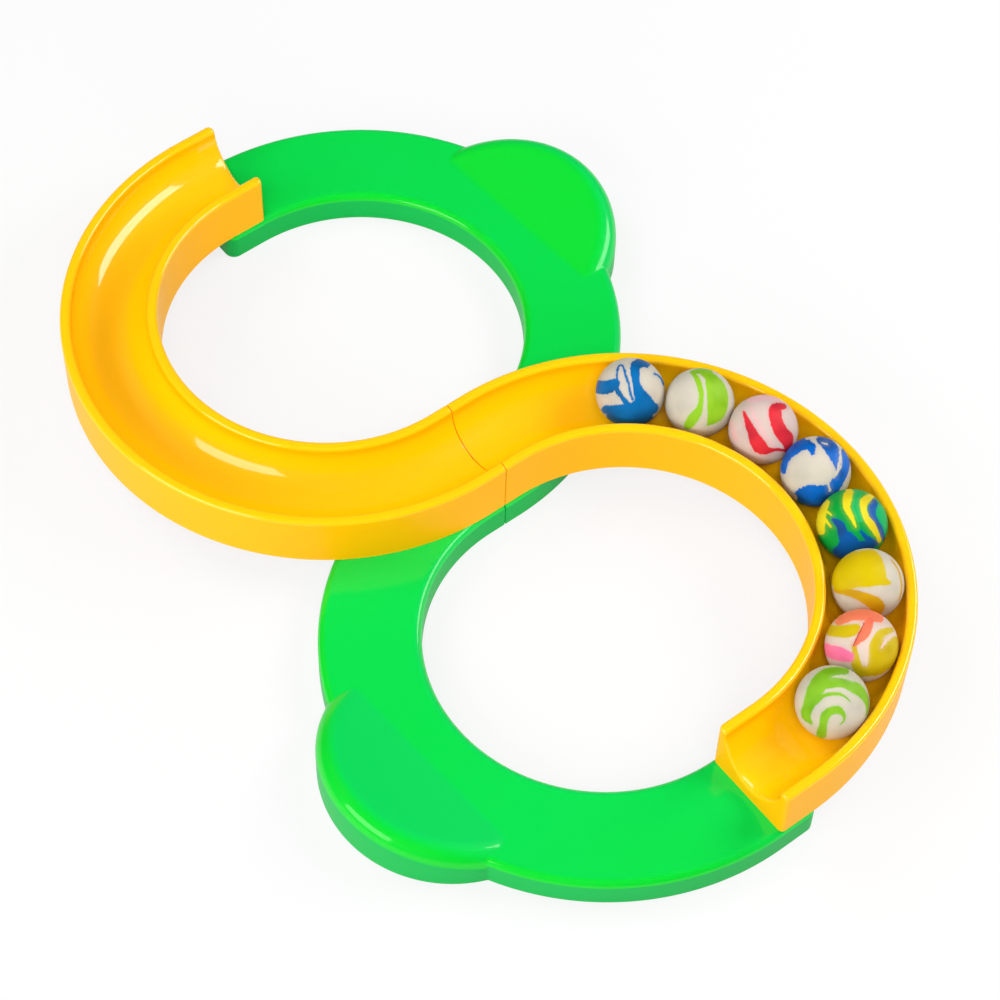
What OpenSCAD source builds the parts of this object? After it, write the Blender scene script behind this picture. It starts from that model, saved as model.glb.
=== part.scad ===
// Hand-held ball track: two green half-ring handles carry two yellow half-ring
// troughs, which join into a figure of eight for a train of rubber balls.
// Origin: middle of the crossing on the floor. X runs along the two rings, Z is up.

/* [Layout] */
// Radius of each half ring, to the middle of the trough
ring_r = 100; // [90:1:120]
// Straight leg between a half ring and the long axis
leg = 8.3; // [6:0.1:14]
// How far the outer end of a trough runs past the long axis
track_lap = 10; // [8:0.5:16]
// How far the outer end of a handle runs past the long axis
handle_lap = 11; // [8:0.5:16]
// Gap between the two pieces that meet at the crossing
seam_gap = 0.4; // [0.2:0.1:1]

/* [Balls] */
// Diameter of a ball
ball_d = 31.2; // [28:0.1:34]
// Gap between neighbouring balls
ball_gap = 0.2; // [0.2:0.05:1]
// Gap between a ball and the trough floor
ball_lift = 0.3; // [0.2:0.05:0.5]
// Play of a ball between the trough walls, each side
ball_play = 1.6; // [1:0.1:3]
// How far the balls lie towards the outer wall of the trough
ball_out = 1; // [0:0.1:1.2]
// Angle of the middle of the ball train, from the X axis round the right ring
train_mid = 78.8; // [72:0.1:86]

/* [Track] */
// Height of a trough piece
track_h = 28; // [27:0.1:36]
// Width of the rim on each side of the trough
rim_w = 5; // [4.5:0.1:7]
// Rounding of the rim edges
rim_round = 1.75; // [1:0.05:2]
// Wall thickness of a trough piece
track_wall = 2.2; // [1.6:0.1:2.8]
// Rounding of the upright corners at the outer end of a trough
track_corner = 2; // [1:0.1:2.5]
// Narrowest pocket between the trough and its side wall
pocket_min = 1.2; // [0.8:0.1:2]

/* [Handle] */
// Height of a handle
base_h = 15; // [13:0.1:22]
// How far a handle stands out past the trough on each side
base_lip = 0.4; // [0:0.1:2]
// Wall thickness of a handle
base_wall = 2.4; // [1.8:0.1:3]
// Thickness of the top of a handle
base_top = 2.6; // [2:0.1:3.5]
// Rounding of the top edges of a handle
base_round = 3.5; // [2:0.1:4.5]
// Rounding of the upright corners at the outer end of a handle
base_corner = 5; // [2:0.5:6]

/* [Hand lobe] */
// Radius of the hand lobe
lobe_r = 58; // [54:0.5:66]
// How far the lobe stands out past the ring
lobe_out = 20.7; // [17:0.1:26]
// Turn of the lobe from the middle of the half ring
lobe_turn = 4; // [0:0.1:6]
// Slope of the lobe's top
lobe_slope = 15.5; // [10:0.5:18]
// Rounding of the lobe's upper edge
lobe_round = 10; // [6:0.5:11]
// Distance from the ring's middle line inwards to the crease where the lobe rises
crease_in = 1.5; // [0:0.1:3]
// How far the lobe's root reaches inwards under the crease
root_in = 3.5; // [2:0.5:5]

/* [Screws] */
// Diameter of a screw shank
screw_d = 3; // [2.5:0.1:3.5]
// Length of a screw under its head
screw_len = 10; // [8:0.5:11]
// Head diameter
head_d = 6; // [5:0.1:7]
// Head height
head_h = 2; // [1.5:0.1:2.5]
// Width of the cross recess in the head
recess_w = 0.9; // [0.6:0.1:1]
// Diameter of a screw boss
boss_d = 7; // [6:0.1:8]
// Distance of a screw from the middle of the trough
boss_u = 11; // [9:0.1:12]
// Distance of the crossing screws from the long axis
mid_screw_y = 12; // [10:0.5:16]
// Extra diameter of the holes in the handles
hole_play = 0.6; // [0.3:0.1:1]
// Extra diameter of the pilot holes in the bosses
pilot_play = 0.1; // [0.05:0.05:0.2]
// Room between a screw's tip and the end of its pilot hole
tip_room = 0.5; // [0.3:0.1:1]

/* [Hidden] */
$fn = 96;
eps = 0.01;
ball_count = 8;

yellow = "#FFC400";
green = "#00D94A";
steel = "#B9BDC2";
ball_colours = ["#0F6FB8", "#8CCB1E", "#E02840", "#0F63B4", "#14803A", "#D9C024", "#F07090", "#86CC1A"];

// Trough section, from the ball outwards
trough_r = ball_d / 2 + ball_play;
track_w = 2 * (trough_r + rim_w);
rim_z = base_h + track_h;
trough_z = rim_z - rim_round;
void_w = track_w - 2 * track_wall;
under_r = trough_r + track_wall;
pocket_u = void_w / 2 - pocket_min;
pocket_z = trough_z - sqrt(max(0, under_r * under_r - pocket_u * pocket_u));

// Handle section and lobe
base_w = track_w + 2 * base_lip;
plate_z = base_h - base_top;
base_void_w = base_w - 2 * base_wall;
lobe_c = ring_r + base_w / 2 + lobe_out - lobe_r;
crease_r = ring_r - crease_in;
lobe_root = crease_r - root_in;
below = 2 * base_wall;
lobe_deep = 2 * base_h + lobe_out + below;

// Ball train on the right ring
ball_sag = ball_play - ball_lift;
ball_side = min(ball_out, ball_sag);
ball_r = ring_r + ball_side;
ball_z = trough_z - sqrt(ball_sag * ball_sag - ball_side * ball_side);
ball_step = 2 * asin((ball_d + ball_gap) / 2 / ball_r);
function ball_angle(i) = train_mid + ((ball_count + 1) / 2 - i) * ball_step;

// Screw places: outer end of the right ring, then the crossing
end_places = [for (s = [-1, 1]) [2 * ring_r + s * boss_u, 0]];
mid_places = [for (s = [-1, 1]) [s * boss_u, mid_screw_y]];
pilot_depth = screw_len - base_top + tip_room;

// Carries a section (x across, y up) round the right half ring and along its two legs
module sweep(far_y, near_y) {
    translate([ring_r, leg, 0])
        rotate_extrude(angle = 180)
            translate([ring_r, 0]) children();
    translate([2 * ring_r, leg, 0])
        rotate([90, 0, 0]) linear_extrude(leg + far_y) children();
    translate([0, leg, 0])
        rotate([90, 0, 0]) linear_extrude(leg - near_y) children();
}

// Removes the two upright corners at the outer end of a leg that is w wide and ends at y
module corner_cut(w, y, r, low, high) {
    for (s = [-1, 1])
        translate([2 * ring_r, -y, low])
            linear_extrude(high - low)
                difference() {
                    translate([s * (w / 2 - r / 2 + eps / 2), r / 2 - eps / 2])
                        square(r + eps, center = true);
                    translate([s * (w / 2 - r), r]) circle(r);
                }
}

// Block with a half-round trough and rounded rims
module track_section() {
    difference() {
        translate([-track_w / 2, base_h]) square([track_w, trough_z - base_h]);
        translate([0, trough_z]) circle(trough_r);
    }
    for (s = [-1, 1])
        translate([s * (trough_r + rim_w / 2), trough_z]) {
            for (t = [-1, 1]) translate([t * (rim_w / 2 - rim_round), 0]) circle(rim_round);
            square([rim_w - 2 * rim_round, 2 * rim_round], center = true);
        }
}

// Hollow under the trough, open below
module track_void_section() {
    difference() {
        translate([-void_w / 2, base_h - track_wall]) square([void_w, pocket_z - base_h + track_wall]);
        translate([0, trough_z]) circle(under_r);
    }
}

module track() {
    difference() {
        sweep(track_lap, seam_gap / 2) track_section();
        difference() {
            sweep(track_lap - track_wall, seam_gap / 2 + track_wall) track_void_section();
            for (p = concat(end_places, mid_places))
                translate([p[0], p[1], base_h]) cylinder(d = boss_d, h = track_h);
        }
        for (p = concat(end_places, mid_places))
            translate([p[0], p[1], base_h - eps]) cylinder(d = screw_d + pilot_play, h = pilot_depth + eps);
        corner_cut(track_w, track_lap, track_corner, base_h - eps, rim_z + eps);
    }
}

// Low block with rounded top edges
module handle_section() {
    translate([-base_w / 2, 0]) square([base_w, base_h - base_round]);
    translate([-base_w / 2 + base_round, 0]) square([base_w - 2 * base_round, base_h]);
    for (s = [-1, 1])
        translate([s * (base_w / 2 - base_round), base_h - base_round]) circle(base_round);
}

module handle_void_section() {
    translate([-base_void_w / 2, -base_wall]) square([base_void_w, plate_z + base_wall]);
}

// Upright disc with a rounded upper edge, its top at z = 0
module rounded_disc(r, round) {
    rotate_extrude() {
        translate([0, -lobe_deep]) square([r, lobe_deep - round]);
        translate([0, -lobe_deep]) square([r - round, lobe_deep]);
        translate([r - round, -round]) intersection() {
            circle(round);
            square(round + eps);
        }
    }
}

// Hand lobe in the frame of its ring, pointing along +Y, from the height low up; inset leaves a wall
module lobe_form(inset, low) {
    intersection() {
        translate([0, lobe_c, -below]) cylinder(r = lobe_r - inset, h = lobe_deep);
        translate([0, crease_r, base_h])
            rotate([lobe_slope, 0, 0])
                translate([0, (lobe_c - crease_r) / cos(lobe_slope), -inset])
                    rounded_disc(lobe_r - inset, lobe_round - inset);
        translate([-lobe_r, lobe_root, low]) cube([2 * lobe_r, 2 * lobe_r, lobe_deep]);
    }
}

// The handle is drawn on the trough's own side and then mirrored across the long axis
module handle() {
    mirror([0, 1, 0])
        difference() {
            union() {
                sweep(handle_lap, seam_gap / 2) handle_section();
                translate([ring_r, leg, 0]) rotate(-lobe_turn) lobe_form(0, 0);
            }
            sweep(handle_lap - base_wall, seam_gap / 2 + base_wall) handle_void_section();
            difference() {
                translate([ring_r, leg, 0]) rotate(-lobe_turn) lobe_form(base_wall, -base_wall);
                translate([ring_r, leg, -below]) cylinder(r = ring_r + base_w / 2, h = lobe_deep);
            }
            for (p = concat(end_places, mid_places))
                translate([p[0], p[1], plate_z - eps])
                    cylinder(d = screw_d + hole_play, h = base_top + 2 * eps);
            corner_cut(base_w, handle_lap, base_corner, -eps, base_h + eps);
        }
}

module track_right() { color(yellow) track(); }
module track_left() { color(yellow) rotate(180) track(); }
module handle_right() { color(green) handle(); }
module handle_left() { color(green) rotate(180) handle(); }

// Ball i of the train, counted from the crossing
module ball(i) {
    color(ball_colours[i - 1])
        translate([ring_r + ball_r * cos(ball_angle(i)), leg + ball_r * sin(ball_angle(i)), ball_z])
            sphere(d = ball_d);
}

// Pan-head screw driven from below through a handle into a trough's boss
module screw(place) {
    tip = screw_d / 2;
    color(steel)
        translate([place[0], place[1], plate_z]) {
            difference() {
                translate([0, 0, -head_h]) cylinder(d = head_d, h = head_h);
                for (a = [0, 90])
                    rotate(a) translate([-head_d / 3, -recess_w / 2, -head_h - eps])
                        cube([2 * head_d / 3, recess_w, head_h / 2]);
            }
            translate([0, 0, -eps]) cylinder(d = screw_d, h = screw_len - tip + eps);
            translate([0, 0, screw_len - tip]) cylinder(d1 = screw_d, d2 = screw_d / 3, h = tip);
        }
}

track_left();
track_right();
handle_left();
handle_right();
ball(1);  // ball_1
ball(2);  // ball_2
ball(3);  // ball_3
ball(4);  // ball_4
ball(5);  // ball_5
ball(6);  // ball_6
ball(7);  // ball_7
ball(8);  // ball_8
screw(end_places[0]);  // screw_right_end_1
screw(end_places[1]);  // screw_right_end_2
screw(-end_places[0]);  // screw_left_end_1
screw(-end_places[1]);  // screw_left_end_2
screw(mid_places[0]);  // screw_right_middle_1
screw(mid_places[1]);  // screw_right_middle_2
screw(-mid_places[0]);  // screw_left_middle_1
screw(-mid_places[1]);  // screw_left_middle_2
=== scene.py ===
import math
import bmesh
import bpy
import numpy as np
from mathutils import Matrix, Vector


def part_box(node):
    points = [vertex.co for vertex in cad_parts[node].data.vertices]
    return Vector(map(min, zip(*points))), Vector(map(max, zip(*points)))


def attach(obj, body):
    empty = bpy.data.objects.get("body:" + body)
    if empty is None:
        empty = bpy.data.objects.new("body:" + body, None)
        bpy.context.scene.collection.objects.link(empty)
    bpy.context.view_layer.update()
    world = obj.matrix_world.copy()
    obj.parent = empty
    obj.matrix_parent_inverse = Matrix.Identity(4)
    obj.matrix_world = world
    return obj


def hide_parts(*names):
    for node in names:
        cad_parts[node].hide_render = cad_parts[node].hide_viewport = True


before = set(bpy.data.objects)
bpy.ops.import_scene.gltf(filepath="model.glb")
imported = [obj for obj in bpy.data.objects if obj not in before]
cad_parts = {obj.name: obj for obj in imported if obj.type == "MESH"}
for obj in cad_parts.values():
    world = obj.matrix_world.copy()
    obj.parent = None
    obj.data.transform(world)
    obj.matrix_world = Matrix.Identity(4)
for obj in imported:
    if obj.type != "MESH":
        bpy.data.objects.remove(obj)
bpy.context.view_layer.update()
scene = bpy.context.scene
mm = 0.001
tiny = 1e-6  # a length in mm that counts as nothing
print("frame loaded, nodes:", len(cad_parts))


# view: the camera of the photograph, from the fit of the ring edges
viewSet = {
    "place": (0.584315, -0.466977, 1.077507),
    "right": (0.612594, 0.790121, 0.020931),
    "down": (0.657866, -0.495018, -0.567600),
    "lens": 103.776, "sensor": 36.0,  # mm
    "clipEnd": 20.0,
}


def placeCamera(s):
    # the camera at its place, turned by the picture's right and down; gives back the turn
    right = Vector(s["right"]).normalized()
    up = -Vector(s["down"]).normalized()
    turn = Matrix((right, up, right.cross(up))).transposed().to_4x4()
    lens = bpy.data.cameras.new("photoLens")
    lens.lens = s["lens"]
    lens.sensor_width = s["sensor"]
    lens.clip_end = s["clipEnd"]
    camera = bpy.data.objects.new("photoCamera", lens)
    camera.matrix_world = Matrix.Translation(s["place"]) @ turn
    scene.collection.objects.link(camera)
    scene.camera = camera
    return turn.to_euler()


viewTurn = placeCamera(viewSet)
print("camera placed")


class Flow:
    # a node socket; an expression on it adds Math nodes
    def __init__(self, tree, socket):
        self.tree = tree
        self.socket = socket

    def node(self, kind, settings, feeds, out=0):
        made = self.tree.nodes.new(kind)
        for key, value in settings.items():
            setattr(made, key, value)
        for key, value in feeds.items():
            if isinstance(value, Flow):
                self.tree.links.new(value.socket, made.inputs[key])
            else:
                made.inputs[key].default_value = value
        return Flow(self.tree, made.outputs[out])

    def maths(self, operation, *feeds):
        return self.node("ShaderNodeMath", {"operation": operation}, dict(enumerate(feeds)))

    def vector(self, operation, *feeds, out=0):
        return self.node("ShaderNodeVectorMath", {"operation": operation}, dict(enumerate(feeds)), out)

    def __add__(self, other):
        return self.maths("ADD", self, other)

    def __radd__(self, other):
        return self.maths("ADD", other, self)

    def __sub__(self, other):
        return self.maths("SUBTRACT", self, other)

    def __rsub__(self, other):
        return self.maths("SUBTRACT", other, self)

    def __mul__(self, other):
        return self.maths("MULTIPLY", self, other)

    def __rmul__(self, other):
        return self.maths("MULTIPLY", other, self)

    def least(self, other):
        return self.maths("MINIMUM", self, other)

    def most(self, other):
        return self.maths("MAXIMUM", self, other)

    def part(self, index):  # one number of a vector: 0 x, 1 y, 2 z
        return self.node("ShaderNodeSeparateXYZ", {}, {0: self}, index)

    def ease(self, start, end):  # smooth step from 0 at start to 1 at end
        return self.node("ShaderNodeMapRange", {"interpolation_type": "SMOOTHSTEP"},
                         {"Value": self, "From Min": start, "From Max": end})

    def noise(self, scale, detail=2.0, rough=0.5, warp=0.0):
        return self.node("ShaderNodeTexNoise", {}, {"Vector": self, "Scale": scale, "Detail": detail,
                                                    "Roughness": rough, "Distortion": warp})

    def tint(self, first, second):  # this value mixes two colours
        return self.node("ShaderNodeMix", {"data_type": "RGBA"}, {0: self, 6: first, 7: second}, 2)

    def relief(self, depth):  # this height as a bumped normal
        return self.node("ShaderNodeBump", {}, {"Height": self, "Distance": depth})

    def into(self, shader, name):
        self.tree.links.new(self.socket, shader.inputs[name])


def fromScreen(red, green, blue):  # screen colour 0-255 to the linear colour of a shader
    c = np.array([red, green, blue]) / 255.0
    line = np.where(c <= 0.04045, c / 12.92, ((c + 0.055) / 1.055) ** 2.4)
    return (*[float(v) for v in line], 1.0)


def newFinish(name):  # gives the material, its shader and the place on the piece
    material = bpy.data.materials.new(name)
    material.use_nodes = True
    tree = material.node_tree
    tree.nodes.clear()
    shader = tree.nodes.new("ShaderNodeBsdfPrincipled")
    end = tree.nodes.new("ShaderNodeOutputMaterial")
    tree.links.new(shader.outputs[0], end.inputs[0])
    spot = Flow(tree, tree.nodes.new("ShaderNodeTexCoord").outputs["Object"])
    return material, shader, spot


# the two moulded plastics: screen colours of faces that look to the front, to the back and of upright walls,
# then the coat on tops, the coat on walls, and its roughness; the front and back colours differ by a painted
# reflection of the surroundings, and the darker wall colour is painted shade
trackPlastic = {"front": (255, 192, 0), "back": (255, 194, 0), "wall": (255, 182, 0),
                "polish": 0.8, "satin": 0.05, "blur": 0.06}
handlePlastic = {"front": (0, 201, 43), "back": (0, 203, 84), "wall": (0, 178, 76),
                 "polish": 0.45, "satin": 0.05, "blur": 0.1}
# what both share: noise scales per metre, where each mask starts and ends, depths in metres
mouldSet = {
    "cloudScale": 9.0, "fineScale": 900.0, "waveScale": 38.0, "scuffScale": 240.0,
    "upright": (0.3, 0.05), "paintedReflectionLean": (-0.2, 0.4), "scuffed": (0.62, 0.74),
    "grainDeep": 0.00001, "waveDeep": 0.00008,
    "rough": 0.4, "gloss": 0.1, "coatIor": 1.6,
}


def mouldedPlastic(name, s, m):
    # colour by the way the surface faces, which paints shade on the walls and a reflected tint on faces leaning
    # front or back; a strong coat on tops and a faint one on walls, bump from three noises
    material, shader, spot = newFinish(name)
    facing = spot.node("ShaderNodeAttribute", {"attribute_name": "facing"}, {}, "Vector")
    # how upright the face is: walls take a darker colour as painted shade, and a fainter coat and deeper grain
    upright = facing.part(2).ease(*m["upright"])
    paintedReflectionLean = facing.part(1)
    cloud = spot.noise(m["cloudScale"], 2.0)                                # slow drift of the pigment
    fine = spot.noise(m["fineScale"], 2.0)                                  # grain of the mould
    wave = spot.noise(m["waveScale"], 1.0)                                  # slight sinking of the walls
    scuff = spot.noise(m["scuffScale"], 4.0, 0.7, 1.5).ease(*m["scuffed"])  # handling marks
    # painted reflection: faces leaning back take the back colour as the surroundings would tint them, its border
    # wandered by the pigment drift
    turned = (paintedReflectionLean + 0.2 * cloud).ease(*m["paintedReflectionLean"])                    # 0 to the front, 1 to the back
    body = turned.tint(fromScreen(*s["front"]), fromScreen(*s["back"]))
    # upright walls get the darker wall colour: painted shade
    upright.tint(body, fromScreen(*s["wall"])).into(shader, "Base Color")
    skin = s["polish"] + (s["satin"] - s["polish"]) * upright
    (skin * (0.4 + 1.2 * fine) - 0.2 * scuff).into(shader, "Coat Weight")
    (m["rough"] + 0.1 * fine + 0.1 * scuff).into(shader, "Roughness")
    bumps = wave * (m["waveDeep"] / m["grainDeep"]) + fine * (0.4 + 1.6 * upright) - scuff * 0.4
    bumps.relief(m["grainDeep"]).into(shader, "Normal")
    shader.inputs["Specular IOR Level"].default_value = m["gloss"]
    shader.inputs["Coat Roughness"].default_value = s["blur"]
    shader.inputs["Coat IOR"].default_value = m["coatIor"]
    return material


# zinc of the screws: bright and dull patches, fine marks of turning
zincSet = {"bright": (196, 200, 204), "dull": (158, 160, 160), "markScale": 2600.0, "patchScale": 420.0,
           "patches": (0.45, 0.75), "rough": 0.26, "markDeep": 0.00001}


def screwZinc(name, s):
    material, shader, spot = newFinish(name)
    marks = spot.noise(s["markScale"], 3.0, 0.6)
    patches = spot.noise(s["patchScale"], 3.0).ease(*s["patches"])
    patches.tint(fromScreen(*s["bright"]), fromScreen(*s["dull"])).into(shader, "Base Color")
    (s["rough"] + 0.16 * marks + 0.1 * patches).into(shader, "Roughness")
    marks.relief(s["markDeep"]).into(shader, "Normal")
    shader.inputs["Metallic"].default_value = 1.0
    return material


trackFinish = mouldedPlastic("track_yellow_plastic", trackPlastic, mouldSet)
handleFinish = mouldedPlastic("handle_green_plastic", handlePlastic, mouldSet)
screwFinish = screwZinc("screw_zinc", zincSet)
print("plastic and zinc finishes made")


meshSet = {"merge": 2e-6, "thin": 1e-7, "sharp": 33.0}  # m, m, degrees


def putMesh(name, points, faces, sharp=meshSet["sharp"]):
    # points in mm; doubles are merged, faces turned outwards, edges over the sharp angle kept crisp
    mesh = bpy.data.meshes.new(name)
    mesh.from_pydata((np.asarray(points).reshape(-1, 3) * mm).tolist(), [], faces)
    work = bmesh.new()
    work.from_mesh(mesh)
    bmesh.ops.remove_doubles(work, verts=work.verts, dist=meshSet["merge"])
    bmesh.ops.dissolve_degenerate(work, edges=work.edges, dist=meshSet["thin"])
    bmesh.ops.recalc_face_normals(work, faces=work.faces)
    work.to_mesh(mesh)
    work.free()
    mesh.shade_smooth()
    mesh.set_sharp_from_angle(angle=math.radians(sharp))
    piece = bpy.data.objects.new(name, mesh)
    scene.collection.objects.link(piece)
    return piece


def markFacing(mesh):
    # keeps the normal of each face corner in an attribute, by which the plastic tells walls from tops and paints
    # shade on the walls and a reflected tint on leaning faces
    normals = np.empty(3 * len(mesh.loops), np.float32)
    mesh.corner_normals.foreach_get("vector", normals)
    mesh.attributes.new("facing", "FLOAT_VECTOR", "CORNER").data.foreach_set("vector", normals)


def gridFaces(rows, columns, start=0):
    # quads of a grid that is closed across its columns
    i = start + np.arange(rows - 1)[:, None] * columns
    j = np.arange(columns)[None, :]
    k = (j + 1) % columns
    return np.stack([i + j, i + k, i + columns + k, i + columns + j], -1).reshape(-1, 4).tolist()


def ringFaces(count, size):
    # quads between neighbouring rings, and both end rings filled from their upper to their lower half
    h = np.arange(size // 2 - 1)
    first = np.stack([h + 1, h, size - 1 - h, size - 2 - h], -1)
    last = np.stack([h, h + 1, size - 2 - h, size - 1 - h], -1) + (count - 1) * size
    return gridFaces(count, size) + first.tolist() + last.tolist()


# the path that troughs and handles share: a leg, a half ring, a leg; mm, and the number of steps
pathSet = {"ringR": 100.0, "leg": 8.3, "seam": 0.2, "ringSteps": 182, "edgeSteps": 11, "legSteps": 5}


def endSteps(radius, wall, reach):
    # distances from an end: the rounded edge, the end wall twice (solid, then hollow), the rest of the leg
    bend = radius * (1.0 - np.sin(np.linspace(np.pi / 2, 0.0, pathSet["edgeSteps"])))
    rest = np.linspace(max(radius, wall), reach, pathSet["legSteps"])[1:]
    apart = 0.01
    before = bend[bend < wall - apart]
    after = bend[bend > wall + apart]
    steps = np.concatenate([before, [wall, wall], after, rest])
    hollow = np.arange(len(steps)) > len(before)
    return steps, hollow


def plainTurns():
    # angles round the half ring in degrees, without its two ends
    return np.linspace(180.0, 0.0, pathSet["ringSteps"])[1:-1]


def walkRing(s, turns):
    # stations from the crossing round the half ring to the outer end: angle, y of the arc's middle,
    # distances to both ends, and whether the piece is hollow there
    nearT, nearHollow = endSteps(s["nearRound"], s["wall"], pathSet["leg"] - pathSet["seam"])
    farT, farHollow = endSteps(s["farRound"], s["wall"], pathSet["leg"] + s["lap"])
    farT, farHollow = farT[::-1], farHollow[::-1]
    angle = np.radians(np.concatenate([np.full(len(nearT), 180.0), turns, np.zeros(len(farT))]))
    middle = np.concatenate([pathSet["seam"] + nearT, np.full(len(turns), pathSet["leg"]), farT - s["lap"]])
    away = 10 * pathSet["ringR"]  # stands for any place that isn't near an end
    near = np.concatenate([nearT, np.full(len(turns) + len(farT), away)])
    outer = np.concatenate([np.full(len(nearT) + len(turns), away), farT])
    hollow = np.concatenate([nearHollow, np.ones(len(turns), bool), farHollow])
    return angle, middle, near, outer, hollow


def roundIn(distance, radius):
    # how far a rounded edge of this radius draws in at a distance from the end
    t = np.clip(radius - distance, 0.0, radius)
    return radius - np.sqrt(np.maximum(radius * radius - t * t, 0.0))


def alongRing(angle, middle, across, height):
    # carries section points (distance from the ring's middle line, height) to their stations
    r = pathSet["ringR"] + across
    x = pathSet["ringR"] + r * np.cos(angle)[:, None]
    y = middle[:, None] + r * np.sin(angle)[:, None]
    return np.stack([x, y, height], -1)


def blendMax(a, b, width):
    # the larger of two heights, with the crease between them rounded
    h = np.clip(0.5 + 0.5 * (a - b) / width, 0.0, 1.0)
    return b + (a - b) * h + width * h * (1.0 - h)


# trough pieces; mm, and the number of steps
troughSet = {
    "half": 22.2, "base": 15.0, "rimZ": 43.0, "rimRound": 1.75, "bowlR": 17.2, "bowlZ": 41.25,
    "wall": 2.2, "pocketZ": 36.46, "pocketU": 18.8, "lap": 10.0,
    "nearRound": 0.35, "farRound": 2.4, "bowlEdge": 1.3, "floorEdge": 4.5, "rimDrop": 1.6,
    "bossR": 3.5, "pilotR": 1.55, "pilotDeep": 7.9,
    "bosses": ((189.0, 0.0), (211.0, 0.0), (-11.0, 12.0), (11.0, 12.0)),
    "wallSteps": 5, "rimSteps": 10, "bowlSteps": 37, "lipSteps": 4, "insideSteps": 8, "pocketSteps": 5,
    "bossSteps": 33,
}


def troughRings(s):
    # section: outer wall, rounded rim, half-round bowl, rim, wall; below, a hollow with a pocket beside the bowl
    angle, middle, near, outer, hollow = walkRing(s, plainTurns())
    seam = roundIn(near, s["nearRound"])
    half = (s["half"] - seam - roundIn(outer, s["farRound"]))[:, None]
    top = (s["rimZ"] - seam - roundIn(outer, s["rimDrop"]))[:, None]
    bowl = (s["bowlR"] + seam + roundIn(outer, s["bowlEdge"]))[:, None]
    soft = np.minimum(s["rimRound"], 0.49 * (half - bowl))
    rise = np.linspace(0.0, 1.0, s["wallSteps"])
    a = np.linspace(np.pi, np.pi / 2, s["rimSteps"])
    b = np.linspace(np.pi / 2, 0.0, s["rimSteps"])
    dip = np.arcsin(np.clip((s["bowlZ"] - top + soft) / bowl, 0.0, 1.0))
    c = np.pi + dip + (np.pi / 2 - dip) * np.linspace(0.0, 1.0, s["bowlSteps"])[1:]
    # the floor rolls down further than the sides at the outer end
    roll = bowl + np.sin(c) ** 4 * (roundIn(outer, s["floorEdge"]) - roundIn(outer, s["bowlEdge"]))[:, None]
    u = np.concatenate([-half + 0 * rise, -half + soft + soft * np.cos(a), -bowl - soft + soft * np.cos(b),
                        bowl * np.cos(c)], 1)
    z = np.concatenate([s["base"] + (top - soft - s["base"]) * rise, top - soft + soft * np.sin(a),
                        top - soft + soft * np.sin(b), s["bowlZ"] + roll * np.sin(c)], 1)
    # underside of the hollow stretch, from the outer wall to the middle: lip, wall, pocket, back of the bowl
    inner = s["half"] - s["wall"]
    under = s["bowlR"] + s["wall"]
    lip = np.linspace(s["half"], inner, s["lipSteps"])
    inside = np.linspace(s["base"], s["pocketZ"], s["insideSteps"])[1:]
    pocket = np.linspace(inner, s["pocketU"], s["pocketSteps"])[1:]
    left = u.shape[1] - len(lip) - len(inside) - len(pocket)  # as many points below as above
    d = np.linspace(np.arcsin(s["pocketU"] / under), 0.0, left)
    lowU = np.concatenate([lip, np.full(len(inside), inner), pocket, under * np.sin(d)])
    lowZ = np.concatenate([np.full(len(lip), s["base"]), inside, np.full(len(pocket), s["pocketZ"]),
                           s["bowlZ"] - under * np.cos(d)])
    # the other half of the section, then the solid end walls
    u = np.concatenate([u, -u[:, -2::-1]], 1)
    z = np.concatenate([z, z[:, -2::-1]], 1)
    lowU = np.concatenate([lowU, -lowU[-2::-1]])
    lowZ = np.concatenate([lowZ, lowZ[-2::-1]])
    lowU = np.where(hollow[:, None], lowU, u[:, ::-1])
    lowZ = np.where(hollow[:, None], lowZ, s["base"])
    return alongRing(angle, middle, np.concatenate([u, lowU], 1), np.concatenate([z, lowZ], 1))


def bossRings(s, place):
    # screw boss: pilot hole, foot, wall up into the underside of the bowl
    turn = np.linspace(0.0, 2 * np.pi, s["bossSteps"])[:-1]
    offset = place[0] - (2 * pathSet["ringR"] if place[0] > pathSet["ringR"] else 0.0)
    reach = s["bowlR"] + 0.5 * s["wall"]
    across = offset + s["bossR"] * np.cos(turn)
    crown = s["bowlZ"] - np.sqrt(reach * reach - across * across)
    middle = s["bowlZ"] - np.sqrt(reach * reach - offset * offset)
    hole = s["base"] + s["pilotDeep"]
    radii = [0.0, s["pilotR"], s["pilotR"], s["bossR"], s["bossR"], 0.0]
    heights = [hole, hole, s["base"], s["base"], crown, middle]
    rows = [np.stack([place[0] + r * np.cos(turn), place[1] + r * np.sin(turn), z + 0 * turn], -1)
            for r, z in zip(radii, heights)]
    return np.stack(rows)


def makeTrough(name, turned):
    rings = troughRings(troughSet)
    points = [rings.reshape(-1, 3)]
    faces = ringFaces(*rings.shape[:2])
    for place in troughSet["bosses"]:
        rows = bossRings(troughSet, place)
        faces += gridFaces(*rows.shape[:2], start=sum(len(p) for p in points))
        points.append(rows.reshape(-1, 3))
    points = np.concatenate(points) * (np.array([-1, -1, 1]) if turned else 1)
    piece = putMesh(name, points, faces)
    markFacing(piece.data)
    piece.data.materials.append(trackFinish)
    return piece


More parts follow.
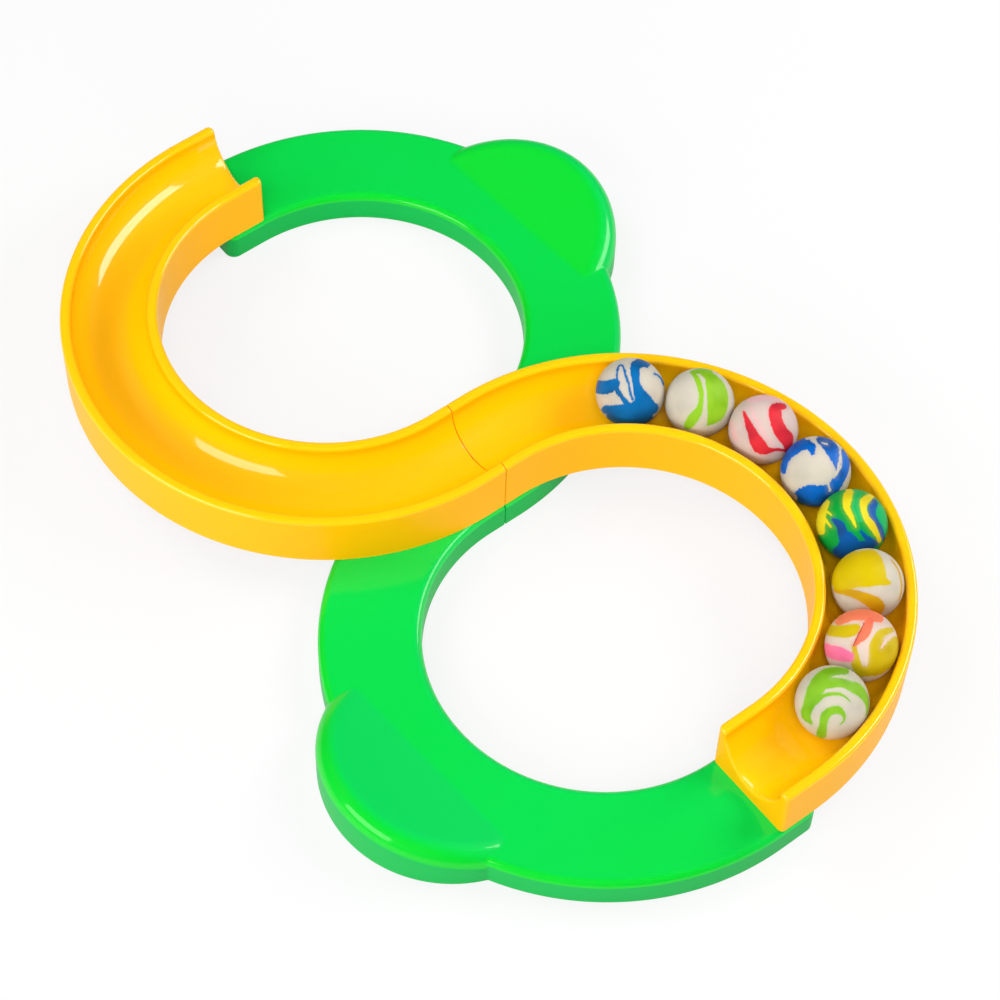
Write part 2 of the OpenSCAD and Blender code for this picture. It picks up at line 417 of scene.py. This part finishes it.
# handles with their hand lobes, drawn on the trough's side and mirrored across the long axis; mm and degrees
handleSet = {
    "half": 22.6, "high": 15.0, "soft": 3.5, "wall": 2.4, "plate": 12.4, "lap": 11.0,
    "nearRound": 0.35, "farRound": 5.0, "endDrop": 2.6,
    "lobeR": 57.97, "lobeC": 85.3, "lobeTurn": 86.0, "slope": 15.5, "lobeSoft": 10.0, "crease": 98.5,
    "creaseBlend": 0.35, "cornerBlend": 0.5, "softBlend": 3.0,
    "cornerSpan": (-5.0, 3.0), "cornerSteps": 41, "lobeSteps": 91,
    "wallSteps": 5, "edgeSteps": 10, "flatSteps": 25, "facetSteps": 41, "lobeEdgeSteps": 19, "voidSteps": 40,
    "creaseRoom": (4.0, 1.0), "fall": 40.0, "leastTop": 2.0, "leastVoid": 0.05,
    "deep": -50.0,  # height that stands for no lobe
}


def lobeReach(s, angle, radius):
    # distance from the ring's middle to the lobe's circle in this direction
    side = angle - np.radians(s["lobeTurn"])
    room = radius ** 2 - (s["lobeC"] * np.sin(side)) ** 2
    reach = s["lobeC"] * np.cos(side) + np.sqrt(np.maximum(room, 0.0))
    return np.where((room > 0) & (np.cos(side) > 0), reach, 0.0)


def lobeHeight(s, reach, side, inset):
    # sloping facet of the lobe, rounded off towards its outline
    x = reach * np.sin(side)
    y = reach * np.cos(side)
    facet = s["high"] + (y - s["crease"]) * math.tan(math.radians(s["slope"])) - inset
    edge = s["lobeR"] - inset - np.hypot(x, y - s["lobeC"])
    soft = s["lobeSoft"] - inset
    t = np.clip(soft - edge, 0.0, soft)
    height = facet - soft + np.sqrt(soft * soft - t * t)
    return np.where(edge < -tiny, s["deep"], height)


def handleTurns(s):
    # angles round the half ring, closer together where the lobe starts and ends
    rim = pathSet["ringR"] + s["half"]
    corner = math.degrees(math.acos((s["lobeC"] ** 2 + rim ** 2 - s["lobeR"] ** 2) / (2 * s["lobeC"] * rim)))
    spread = np.linspace(*s["cornerSpan"], s["cornerSteps"])
    extra = [s["lobeTurn"] + sign * corner + spread * sign for sign in (-1, 1)]
    inside = np.linspace(s["lobeTurn"] - corner, s["lobeTurn"] + corner, s["lobeSteps"])
    return np.unique(np.round(np.concatenate([plainTurns(), inside, *extra]), 3))[::-1]


def handleRings(s):
    # section: inner wall, rounded edge, flat top, crease, lobe facet, rounded edge, outer wall; hollow below
    angle, middle, near, outer, hollow = walkRing(s, handleTurns(s))
    side = (angle - np.radians(s["lobeTurn"]))[:, None]
    bent = np.abs(middle - pathSet["leg"]) < tiny
    seam = roundIn(near, s["nearRound"])
    drawn = (seam + roundIn(outer, s["farRound"]))[:, None]
    drop = (seam + roundIn(outer, s["endDrop"]))[:, None]
    inner = pathSet["ringR"] - s["half"] + drawn
    plain = pathSet["ringR"] + s["half"] - drawn
    lobe = np.where(bent, lobeReach(s, angle, s["lobeR"]), 0.0)[:, None]
    out = blendMax(lobe, plain, s["cornerBlend"])
    onLobe = np.clip((lobe - plain) / s["softBlend"] + 0.5, 0.0, 1.0)
    fillet = s["soft"] + (s["lobeSoft"] - s["soft"]) * onLobe
    a = np.linspace(0.0, np.pi / 2, s["edgeSteps"])
    b = np.linspace(0.0, np.pi / 2, s["lobeEdgeSteps"])[1:]
    low = inner + s["soft"]
    high = out - fillet
    before, after = s["creaseRoom"]
    line = np.clip(s["crease"] / np.maximum(np.cos(side), 0.5), low + before, high - after)  # a straight crease
    flatStep = np.linspace(0.0, 1.0, s["flatSteps"])[1:]
    facetStep = np.linspace(0.0, 1.0, s["facetSteps"])[1:]
    reach = np.concatenate([low - s["soft"] * np.cos(a), low + (line - low) * flatStep,
                            line + (high - line) * facetStep, high + fillet * np.sin(b)], 1)
    # heights of the plain ring, which falls away steeply past its edge, and of the lobe
    t = np.maximum(np.maximum(low - reach, reach - (plain - s["soft"])), 0.0)
    past = np.maximum(t - s["soft"], 0.0)
    ring = s["high"] - s["soft"] + np.sqrt(np.maximum(s["soft"] ** 2 - t * t, 0.0)) - s["fall"] * past
    rise = np.where(bent[:, None], lobeHeight(s, reach, side, 0.0), s["deep"])
    top = np.maximum(blendMax(rise, ring, s["creaseBlend"]) - drop, s["leastTop"])
    climb = np.linspace(0.0, 1.0, s["wallSteps"])[:-1]
    u = np.concatenate([inner + 0 * climb, reach, out + 0 * climb], 1) - pathSet["ringR"]
    z = np.concatenate([top[:, :1] * climb, top, top[:, -1:] * climb[::-1]], 1)
    # underside: lip, lobe hollow, rib, ring hollow, lip
    void = np.maximum(np.where(bent, lobeReach(s, angle, s["lobeR"] - s["wall"]), 0.0)[:, None], plain)
    span = void + (plain - void) * np.linspace(0.0, 1.0, s["voidSteps"])
    roof = np.where(void > plain + s["leastVoid"], np.maximum(lobeHeight(s, span, side, s["wall"]), 0.0), 0.0)
    ribOut, ribIn = plain - s["wall"], inner + s["wall"]
    left = u.shape[1] - s["voidSteps"] - 14  # 14 columns go to lips and ribs
    flat = ribOut + (ribIn - ribOut) * np.linspace(0.0, 1.0, left)
    zero = 0.0 * plain
    plate = zero + s["plate"]
    lowR = np.concatenate([out, void + (out - void) * 0.5, void, void, void, span, plain, plain,
                           ribOut, ribOut, flat, ribIn, ribIn, inner, inner, inner], 1)
    lowZ = np.concatenate([zero, zero, zero, roof[:, :1] * 0.33, roof[:, :1] * 0.66, roof, roof[:, -1:] * 0.5,
                           zero, zero, plate * 0.5, plate + 0 * flat, plate * 0.5, zero, zero, zero, zero], 1)
    lowU = np.where(hollow[:, None], lowR - pathSet["ringR"], u[:, ::-1])
    lowZ = np.where(hollow[:, None], lowZ, 0.0)
    return alongRing(angle, middle, np.concatenate([u, lowU], 1), np.concatenate([z, lowZ], 1))


def makeHandle(name, turned):
    rings = handleRings(handleSet)
    points = rings.reshape(-1, 3) * (np.array([-1, 1, 1]) if turned else np.array([1, -1, 1]))
    piece = putMesh(name, points, ringFaces(*rings.shape[:2]))
    markFacing(piece.data)
    piece.data.materials.append(handleFinish)
    return piece


for side in ("left", "right"):
    trough = makeTrough("trough_" + side, side == "left")
    handle = makeHandle("grip_" + side, side == "left")
    dressed = ((trough, "track_" + side, "track_yellow"), (handle, "handle_" + side, "handle_green"))
    for piece, node, slot in dressed:
        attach(piece, "toy")
        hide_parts(node)
    print("trough and handle made:", side, len(trough.data.polygons), len(handle.data.polygons))


# balls: marbled rubber, each with its own streaks
ballSet = {
    "seamDeep": 0.05, "seamWide": 0.03, "rows": 65, "columns": 97, "sharp": 60.0,
    "drift": 0.08, "driftScale": 2.0, "fray": 0.03, "frayScale": 14.0,  # how streaks wander, in ball radii
    "hairScale": 17.0, "hairStretch": (1.0, 0.16, 0.6), "swirl": 1.9,
    "mottleScale": 1.6, "wispScale": 2.4, "wisps": (0.52, 0.75), "edge": 0.018, "halo": 0.14,
    "pitScale": 42.0, "dentScale": 9.0, "bumpDeep": 0.00004, "rough": 0.42, "gloss": 0.16,
}
white = (198, 190, 174)
# streaks are chains of (u to the right, v up, half width) in ball radii, as seen in the photograph's view
ballLooks = {
    "ball_1": {"slot": "ball_blue", "base": white, "brush": 0.07, "layers": [
        {"colour": (0, 102, 167), "deep": (0, 79, 133), "streaks": [
            [(0.47, 0.8, 0.1), (0.3, 0.86, 0.15), (0.14, 0.74, 0.15), (0.09, 0.5, 0.13), (0.11, 0.25, 0.12),
             (0.18, 0.02, 0.14), (0.28, -0.2, 0.21), (0.36, -0.4, 0.32)],
            [(-0.72, -0.52, 0.12), (-0.35, -0.56, 0.17), (0.0, -0.5, 0.18), (0.3, -0.46, 0.28),
             (0.62, -0.47, 0.18)],
            [(-0.5, -0.74, 0.2), (0.0, -0.78, 0.24), (0.45, -0.7, 0.2)],
            [(-0.95, 0.14, 0.2), (-0.7, 0.12, 0.19), (-0.48, 0.22, 0.15)],
            [(-0.42, 0.3, 0.03), (-0.41, 0.58, 0.03), (-0.3, 0.75, 0.035), (-0.2, 0.64, 0.03),
             (-0.14, 0.33, 0.03), (-0.06, 0.03, 0.03), (0.02, -0.22, 0.03)],
            [(-0.44, 0.1, 0.08), (-0.34, -0.08, 0.07), (-0.2, -0.27, 0.08), (-0.05, -0.44, 0.1)],
            [(0.66, 0.52, 0.035), (0.84, 0.43, 0.03), (0.95, 0.22, 0.03)]]}]},
    "ball_2": {"slot": "ball_lime", "base": white, "brush": 0.02, "layers": [
        {"colour": (139, 190, 39), "deep": (117, 171, 13), "streaks": [
            [(0.12, 0.82, 0.12), (0.28, 0.68, 0.18), (0.36, 0.5, 0.26), (0.43, 0.25, 0.31), (0.45, 0.0, 0.3),
             (0.42, -0.25, 0.27), (0.32, -0.48, 0.17), (0.21, -0.65, 0.05)],
            [(-0.2, 0.82, 0.06), (-0.08, 0.55, 0.075), (-0.04, 0.25, 0.07), (-0.03, 0.0, 0.07),
             (-0.08, -0.22, 0.1), (-0.21, -0.44, 0.14), (-0.34, -0.61, 0.14), (-0.36, -0.72, 0.06)],
            [(-0.22, 0.86, 0.07), (0.0, 0.9, 0.1), (0.25, 0.84, 0.12)]]}]},
    "ball_3": {"slot": "ball_red", "base": (204, 182, 174), "brush": 0.02, "layers": [
        {"colour": (218, 175, 173), "deep": (214, 167, 169), "streaks": [
            [(-0.4, 0.62, 0.03), (-0.3, 0.3, 0.05), (0.0, -0.2, 0.05), (0.24, -0.5, 0.03)],
            [(-0.4, 0.84, 0.1), (0.0, 0.92, 0.08), (0.4, 0.86, 0.06)],
            [(-0.95, 0.2, 0.05), (-0.8, -0.3, 0.05)]]},
        {"colour": (214, 43, 54), "deep": (178, 24, 42), "streaks": [
            [(0.54, 0.66, 0.08), (0.36, 0.64, 0.13), (0.27, 0.5, 0.2), (0.27, 0.28, 0.2), (0.34, 0.06, 0.19),
             (0.46, -0.13, 0.2), (0.6, -0.28, 0.22), (0.64, -0.46, 0.14)],
            [(-0.6, 0.5, 0.03), (-0.57, 0.33, 0.06), (-0.49, 0.14, 0.1), (-0.4, -0.05, 0.13),
             (-0.32, -0.25, 0.17), (-0.19, -0.46, 0.2), (0.02, -0.6, 0.12), (0.27, -0.6, 0.05),
             (0.62, -0.6, 0.04)]]}]},
    "ball_4": {"slot": "ball_blue", "base": white, "brush": 0.1, "layers": [
        {"colour": (0, 98, 192), "deep": (0, 66, 132), "streaks": [
            [(-0.94, -0.02, 0.06), (-0.88, 0.34, 0.1), (-0.66, 0.63, 0.15), (-0.4, 0.78, 0.18),
             (-0.2, 0.7, 0.13), (-0.17, 0.52, 0.06)],
            [(0.16, 0.88, 0.17), (0.36, 0.66, 0.22), (0.48, 0.38, 0.16), (0.51, 0.14, 0.08), (0.5, 0.0, 0.03)],
            [(0.78, 0.5, 0.15), (0.8, 0.22, 0.15), (0.68, -0.06, 0.14), (0.53, -0.3, 0.16), (0.36, -0.5, 0.2)],
            [(-0.5, -0.6, 0.12), (-0.25, -0.6, 0.21), (0.05, -0.62, 0.25), (0.3, -0.62, 0.24)],
            [(-0.35, -0.8, 0.2), (0.0, -0.86, 0.2), (0.4, -0.78, 0.2)]]},
        {"colour": white, "deep": white, "streaks": [
            [(0.22, -0.26, 0.02), (0.27, -0.4, 0.035), (0.3, -0.56, 0.03)],
            [(0.14, 0.8, 0.02), (0.26, 0.78, 0.03)],
            [(0.62, 0.58, 0.02), (0.6, 0.36, 0.035), (0.54, 0.1, 0.03), (0.44, -0.16, 0.02)]]}]},
    "ball_5": {"slot": "ball_green", "base": (0, 152, 54), "brush": 0.03, "layers": [
        {"colour": (0, 170, 88), "deep": (0, 158, 76), "streaks": [
            [(0.68, 0.42, 0.16), (0.78, 0.1, 0.2), (0.86, -0.2, 0.14)],
            [(0.08, 0.85, 0.14), (0.02, 0.45, 0.14), (0.1, 0.15, 0.1)]]},
        {"colour": (0, 83, 158), "deep": (0, 58, 117), "streaks": [
            [(0.56, 0.62, 0.1), (0.47, 0.45, 0.11), (0.48, 0.24, 0.09), (0.6, 0.03, 0.08),
             (0.75, -0.22, 0.08), (0.85, -0.4, 0.06)],
            [(-0.6, 0.14, 0.06), (-0.42, 0.0, 0.12), (-0.34, -0.25, 0.15), (-0.18, -0.5, 0.26),
             (-0.36, -0.74, 0.2)],
            [(0.14, -0.18, 0.04), (0.34, -0.4, 0.08), (0.62, -0.53, 0.07)],
            [(0.0, -0.62, 0.2), (0.4, -0.62, 0.16)]]},
        {"colour": (222, 205, 34), "deep": (205, 184, 17), "streaks": [
            [(-0.1, 0.92, 0.1), (-0.19, 0.72, 0.12), (-0.24, 0.52, 0.1), (-0.18, 0.32, 0.07),
             (-0.08, 0.1, 0.04), (-0.01, -0.04, 0.02)],
            [(0.56, 0.79, 0.05), (0.4, 0.75, 0.09), (0.25, 0.62, 0.12), (0.22, 0.42, 0.1), (0.28, 0.2, 0.1),
             (0.43, 0.0, 0.1), (0.57, -0.22, 0.085), (0.71, -0.43, 0.07)],
            [(-0.7, 0.63, 0.05), (-0.82, 0.42, 0.08), (-0.92, 0.12, 0.1), (-0.9, -0.2, 0.09)],
            [(-0.84, 0.16, 0.06), (-0.66, -0.05, 0.02)], [(-0.8, 0.42, 0.05), (-0.66, 0.26, 0.02)]]}]},
    "ball_6": {"slot": "ball_mustard", "base": white, "brush": 0.02, "layers": [
        {"colour": (197, 154, 9), "deep": (190, 143, 8), "streaks": [
            [(-0.88, -0.12, 0.1), (-0.56, -0.21, 0.12), (-0.26, -0.31, 0.14), (0.05, -0.45, 0.18),
             (0.2, -0.65, 0.17), (0.14, -0.84, 0.1)],
            [(0.6, 0.68, 0.02), (0.79, 0.34, 0.03), (0.86, 0.0, 0.035), (0.82, -0.4, 0.02)]]},
        {"colour": (202, 177, 0), "deep": (198, 168, 0), "streaks": [
            [(-0.18, 0.76, 0.2), (0.06, 0.8, 0.19), (0.02, 0.5, 0.36), (0.12, 0.28, 0.28)],
            [(-0.38, 0.5, 0.44), (-0.6, 0.28, 0.37), (-0.82, 0.08, 0.22)],
            [(-0.4, 0.2, 0.24), (0.0, 0.2, 0.22), (0.3, 0.12, 0.14), (0.46, 0.06, 0.05)]]}]},
    "ball_7": {"slot": "ball_pink", "base": (212, 192, 180), "brush": 0.03, "layers": [
        {"colour": (235, 130, 90), "deep": (227, 115, 83), "streaks": [
            [(-0.66, 0.66, 0.08), (-0.32, 0.84, 0.15), (0.08, 0.9, 0.2), (0.45, 0.8, 0.13)]]},
        {"colour": (199, 173, 9), "deep": (186, 156, 6), "streaks": [
            [(-0.88, 0.42, 0.14), (-0.6, 0.42, 0.17), (-0.35, 0.46, 0.15), (-0.2, 0.54, 0.08)],
            [(-0.3, 0.03, 0.06), (-0.27, -0.2, 0.09), (-0.24, -0.45, 0.13), (-0.06, -0.68, 0.14)],
            [(0.76, 0.46, 0.07), (0.5, 0.42, 0.1), (0.31, 0.24, 0.13), (0.18, 0.0, 0.11), (0.14, -0.25, 0.12)],
            [(0.86, 0.14, 0.15), (0.64, 0.1, 0.2), (0.46, -0.15, 0.26), (0.4, -0.42, 0.34), (0.1, -0.62, 0.2)],
            [(0.86, -0.1, 0.18), (0.66, -0.36, 0.28)]]},
        {"colour": (216, 194, 177), "deep": (222, 179, 167), "streaks": [
            [(0.42, -0.02, 0.02), (0.56, 0.2, 0.05), (0.78, 0.36, 0.05)],
            [(0.02, -0.46, 0.03), (0.02, -0.2, 0.06), (0.04, 0.1, 0.04)]]},
        {"colour": (233, 117, 85), "deep": (222, 98, 75), "streaks": [
            [(0.16, 0.7, 0.1), (0.02, 0.46, 0.13), (-0.12, 0.26, 0.09), (-0.28, 0.07, 0.02)]]},
        {"colour": (179, 60, 41), "deep": (179, 60, 41), "streaks": [
            [(-0.02, 0.64, 0.012), (-0.2, 0.34, 0.018), (-0.32, 0.06, 0.015)]]},
        {"colour": (246, 122, 160), "deep": (238, 106, 150), "streaks": [
            [(-0.94, -0.1, 0.15), (-0.7, -0.18, 0.21), (-0.44, -0.26, 0.15)]]}]},
    "ball_8": {"slot": "ball_lime", "base": white, "brush": 0.02, "layers": [
        {"colour": (128, 182, 41), "deep": (103, 160, 13), "streaks": [
            [(0.36, 0.87, 0.07), (0.1, 0.86, 0.13), (-0.2, 0.76, 0.18), (-0.45, 0.5, 0.2), (-0.62, 0.2, 0.17),
             (-0.72, -0.1, 0.13), (-0.75, -0.35, 0.1), (-0.62, -0.52, 0.03)],
            [(-0.36, 0.55, 0.14), (0.0, 0.58, 0.12), (0.3, 0.54, 0.13), (0.58, 0.42, 0.15), (0.8, 0.2, 0.13),
             (0.9, -0.05, 0.08), (0.88, -0.3, 0.03)],
            [(-0.52, 0.06, 0.05), (-0.32, 0.25, 0.05), (-0.05, 0.3, 0.045), (0.2, 0.23, 0.035),
             (0.37, 0.08, 0.015)],
            [(-0.33, -0.84, 0.12), (-0.32, -0.5, 0.11), (-0.25, -0.25, 0.12), (-0.08, -0.12, 0.11),
             (0.1, -0.15, 0.09), (0.21, -0.28, 0.05), (0.2, -0.42, 0.03), (0.12, -0.52, 0.02)]]},
        {"colour": white, "deep": (184, 192, 150), "streaks": [
            [(-0.05, 0.71, 0.015), (0.2, 0.75, 0.04), (0.48, 0.68, 0.02)]]}]},
}


def smoothStreak(streak):
    # one more point between neighbours, on the smooth curve through all of them
    p = np.array(streak)
    ends = np.concatenate([2 * p[:1] - p[1:2], p, 2 * p[-1:] - p[-2:-1]])
    between = (9 * (ends[1:-2] + ends[2:-1]) - ends[:-3] - ends[3:]) / 16
    fine = np.empty((2 * len(p) - 1, 3))
    fine[0::2] = p
    fine[1::2] = between
    return fine.tolist()


def streakDistance(spot, streak):
    # distance from a chain of round cones: nearest point on each run, less the radius there
    nearest = None
    streak = smoothStreak(streak)
    for (ax, ay, ar), (bx, by, br) in zip(streak, streak[1:]):
        dx, dy = bx - ax, by - ay
        size = dx * dx + dy * dy
        along = spot.vector("DOT_PRODUCT", spot, (dx / size, dy / size, 0.0), out=1)
        share = spot.node("ShaderNodeMath", {"operation": "SUBTRACT", "use_clamp": True},
                          {0: along, 1: (ax * dx + ay * dy) / size})
        both = spot.node("ShaderNodeCombineXYZ", {}, {0: share, 1: share})
        foot = spot.vector("MULTIPLY_ADD", both, (dx, dy, 0.0), (ax, ay, 0.0))
        gap = spot.vector("DISTANCE", spot, foot, out=1) - (share * (br - ar) + ar)
        nearest = gap if nearest is None else nearest.least(gap)
    return nearest


def marbledRubber(name, look, s, centre, radius):
    # layers of colour over a base, each where a point lies inside its streaks, in the ball's own frame
    material, shader, spot = newFinish(name)
    local = spot.node("ShaderNodeMapping", {"vector_type": "TEXTURE"}, {
        "Vector": spot, "Location": [float(v) * mm for v in centre], "Rotation": list(viewTurn),
        "Scale": [radius * mm] * 3})
    swirl = (0.0 - local.part(2)).most(0.0) * s["swirl"]  # the back of the ball is stirred round
    turned = local.node("ShaderNodeVectorRotate", {"rotation_type": "Z_AXIS"}, {"Vector": local, "Angle": swirl})
    drift = local.node("ShaderNodeTexNoise", {}, {"Vector": local, "Scale": s["driftScale"], "Detail": 0.0}, 1)
    fray = local.node("ShaderNodeTexNoise", {}, {"Vector": local, "Scale": s["frayScale"], "Detail": 1.0}, 1)
    shift = -0.5 * (s["drift"] + s["fray"])               # both noises lie about 0.5
    moved = local.vector("MULTIPLY_ADD", drift, (s["drift"], s["drift"], 0.0), (shift, shift, 0.0))
    moved = local.vector("MULTIPLY_ADD", fray, (s["fray"], s["fray"], 0.0), moved)
    flat = local.vector("MULTIPLY", local.vector("ADD", turned, moved), (1.0, 1.0, 0.0))
    hairs = local.vector("MULTIPLY", local, s["hairStretch"]).noise(s["hairScale"], 2.0)  # marks of a brush
    mottle = local.noise(s["mottleScale"], 1.0)
    wisps = local.noise(s["wispScale"], 3.0, 0.6, 1.2).ease(*s["wisps"])
    dull = [0.9 * v for v in look["base"]]
    colour = (mottle.ease(0.35, 0.7) * 0.5).tint(fromScreen(*look["base"]), fromScreen(*dull))
    for layer in look["layers"]:
        gap = None
        for streak in layer["streaks"]:
            one = streakDistance(flat, streak)
            gap = one if gap is None else gap.least(one)
        gap = gap + (hairs - 0.5) * look["brush"]
        paint = mottle.ease(0.3, 0.75).tint(fromScreen(*layer["colour"]), fromScreen(*layer["deep"]))
        halo = gap.ease(s["halo"], 0.0) * (0.1 + 0.22 * wisps)  # colour that has bled into its surroundings
        colour = halo.tint(colour, paint)
        colour = gap.ease(s["edge"], -s["edge"]).tint(colour, paint)
    colour.into(shader, "Base Color")
    pits = local.noise(s["pitScale"], 3.0, 0.6)
    (s["rough"] + 0.16 * pits).into(shader, "Roughness")
    (pits + local.noise(s["dentScale"], 1.0) * 2.0).relief(s["bumpDeep"]).into(shader, "Normal")
    shader.inputs["Specular IOR Level"].default_value = s["gloss"]
    return material


def ballPoints(s, centre, radius):
    # sphere by latitude and longitude, with the faint groove of the mould's parting line round its equator
    lift = np.radians(np.linspace(-90.0, 90.0, s["rows"]))[:, None]
    turn = np.radians(np.linspace(0.0, 360.0, s["columns"])[:-1])[None, :]
    r = radius - s["seamDeep"] * np.exp(-(lift / s["seamWide"]) ** 2)
    ball = np.stack([r * np.cos(lift) * np.cos(turn), r * np.cos(lift) * np.sin(turn),
                     r * np.sin(lift) + 0 * turn], -1)
    return ball + centre


for node, look in ballLooks.items():
    low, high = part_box(node)
    centre = np.array((low + high) * (0.5 / mm))
    radius = (high.z - low.z) * (0.5 / mm)
    points = ballPoints(ballSet, centre, radius)
    piece = putMesh("marbled_" + node, points, gridFaces(*points.shape[:2]), ballSet["sharp"])
    piece.data.materials.append(marbledRubber("rubber_" + node, look, ballSet, centre, radius))
    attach(piece, node)
    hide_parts(node)
print("balls made:", len(ballLooks))


# screws: pan head with a cross recess, threaded shank; mm, and the number of steps
screwSet = {
    "headR": 3.0, "headH": 2.0, "seat": 12.4, "corner": 0.8, "dome": 0.25, "cornerDrop": 0.14,
    "shankR": 1.5, "rootR": 1.15, "length": 10.0, "tip": 1.5, "pitch": 1.1, "start": 0.02,
    "recessHalf": 0.45, "recessArm": 2.0, "recessDeep": 1.0,
    "columns": 65, "faceRows": 15, "cornerRows": 8, "threadRows": 72, "sharp": 40.0,
}


def screwPoints(s, place):
    # rows from the middle of the head's face outwards, round its edge, back to the shank and up the thread
    turn = np.radians(np.linspace(0.0, 360.0, s["columns"])[:-1])[None, :]
    faceR = s["headR"] - s["corner"]
    faceZ = s["seat"] - s["headH"]
    face = np.linspace(0.0, 1.0, s["faceRows"])[:, None] * faceR
    x, y = np.abs(face * np.cos(turn)), np.abs(face * np.sin(turn))
    arm = (np.minimum(x, y) < s["recessHalf"]) & (np.maximum(x, y) < s["recessArm"])
    dome = s["dome"] * (face / s["headR"]) ** 2
    headZ = faceZ + dome + np.where(arm, s["recessDeep"], 0.0)
    bend = np.linspace(0.0, np.pi / 2, s["cornerRows"])[1:, None]
    edgeR = faceR + s["corner"] * np.sin(bend) + 0 * turn
    edgeZ = faceZ + s["cornerDrop"] + s["corner"] * (1 - np.cos(bend)) + 0 * turn
    seatR = np.array([[s["headR"]], [s["rootR"]]]) + 0 * turn
    seatZ = s["seat"] + 0 * seatR
    climb = np.linspace(s["start"], s["length"], s["threadRows"])[:, None]
    wave = np.abs(((climb / s["pitch"] - turn / (2 * np.pi)) % 1.0) - 0.5) * 2.0
    taper = np.clip((s["length"] - climb) / s["tip"], 0.0, 1.0)
    crest = np.clip(1.6 * wave - 0.6, 0.0, 1.0)  # a broad root and a narrow crest
    shankR = (s["rootR"] + (s["shankR"] - s["rootR"]) * crest) * taper
    shankZ = s["seat"] + climb + 0 * turn
    r = np.concatenate([face + 0 * turn, edgeR, seatR, shankR])
    z = np.concatenate([headZ, edgeZ, seatZ, shankZ])
    return np.stack([place[0] + r * np.cos(turn), place[1] + r * np.sin(turn), z], -1)


for node in [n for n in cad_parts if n.startswith("screw_")]:
    low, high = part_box(node)
    middle = (low + high) * (0.5 / mm)
    points = screwPoints(screwSet, (middle.x, middle.y))
    piece = putMesh("pan_" + node, points, gridFaces(*points.shape[:2]), screwSet["sharp"])
    piece.data.materials.append(screwFinish)
    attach(piece, "toy")
    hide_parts(node)
print("screws made")


# stage: pale floor, faint sky, two softboxes that draw the streaks on the plastic, and three fill lamps
stageSet = {"floorSize": 8.0, "floorDrop": 0.0004, "floorGrid": 3, "floorColour": (0.72, 0.72, 0.72, 1.0),
            "floorGlow": 0.8, "glowColour": (1.0, 1.0, 1.0, 1.0), "sky": 0.1}
lampSet = {
    "softFront": {"place": (0.02, -1.18, 0.64), "along": (1, 0, 0), "size": (0.94, 0.66),
                  "watts": 9.4, "shine": True},
    "softBack": {"place": (0.36, 0.83, 0.71), "along": (0.62, -0.645, 0.378), "size": (0.85, 0.47),
                 "watts": 9.0, "shine": True},
    "fillView": {"place": (1.7, -1.3, 3.4), "along": (1, 0, 0), "size": (1.6, 1.6),
                 "watts": 60.0, "shine": False},
    "fillLow": {"place": (1.9, -1.9, 1.1), "along": (1, 0, 0), "size": (1.6, 1.0),
                "watts": 24.0, "shine": False},
    "fillLeft": {"place": (-1.9, -0.7, 2.3), "along": (1, 0, 0), "size": (1.6, 1.6),
                 "watts": 32.0, "shine": False},
}


def makeFloor(s):
    # a flat grid; what the camera and reflections see of it is mostly a white glow, so that it stays pale
    count = s["floorGrid"]
    span = np.linspace(-0.5, 0.5, count) * s["floorSize"]
    x, y = np.meshgrid(span, span)
    corner = (np.arange(count - 1)[:, None] * count + np.arange(count - 1)).reshape(-1, 1)
    mesh = bpy.data.meshes.new("floor")
    mesh.from_pydata(np.stack([x, y, 0 * x - s["floorDrop"]], -1).reshape(-1, 3).tolist(), [],
                     (corner + np.array([0, 1, count + 1, count])).tolist())
    floor = bpy.data.objects.new("floor", mesh)
    scene.collection.objects.link(floor)
    material = bpy.data.materials.new("pale_floor")
    material.use_nodes = True
    tree = material.node_tree
    tree.nodes.clear()
    path = tree.nodes.new("ShaderNodeLightPath")
    seen = [Flow(tree, path.outputs[n]) for n in ("Is Camera Ray", "Is Glossy Ray", "Is Transmission Ray")]
    share = seen[0].most(seen[1]).most(seen[2]) * s["floorGlow"]
    matt = share.node("ShaderNodeBsdfDiffuse", {}, {"Color": s["floorColour"]})
    glow = share.node("ShaderNodeEmission", {}, {"Color": s["glowColour"], "Strength": 1.0})
    mixed = share.node("ShaderNodeMixShader", {}, {0: share, 1: matt, 2: glow})
    end = tree.nodes.new("ShaderNodeOutputMaterial")
    tree.links.new(mixed.socket, end.inputs[0])
    mesh.materials.append(material)


def makeSky(s):
    world = bpy.data.worlds.new("studio")
    scene.world = world
    world.use_nodes = True
    back = world.node_tree.nodes["Background"]
    back.inputs["Color"].default_value = s["glowColour"]
    back.inputs["Strength"].default_value = s["sky"]


def makeLamp(name, s):
    lamp = bpy.data.lights.new(name, "AREA")
    lamp.shape = "RECTANGLE"
    lamp.size, lamp.size_y = s["size"]
    lamp.energy = s["watts"]
    away = Vector(s["place"]).normalized()  # the lamp faces the middle of the toy
    across = away.cross(Vector(s["along"])).normalized()
    thing = bpy.data.objects.new(name, lamp)
    thing.location = s["place"]
    thing.rotation_euler = Matrix((across.cross(away), across, away)).transposed().to_euler()
    thing.visible_glossy = s["shine"]       # a fill lamp leaves no streak
    scene.collection.objects.link(thing)


makeFloor(stageSet)
makeSky(stageSet)
for name, settings in lampSet.items():
    makeLamp(name, settings)
scene.view_settings.view_transform = "Standard"
print("stage and lamps made")
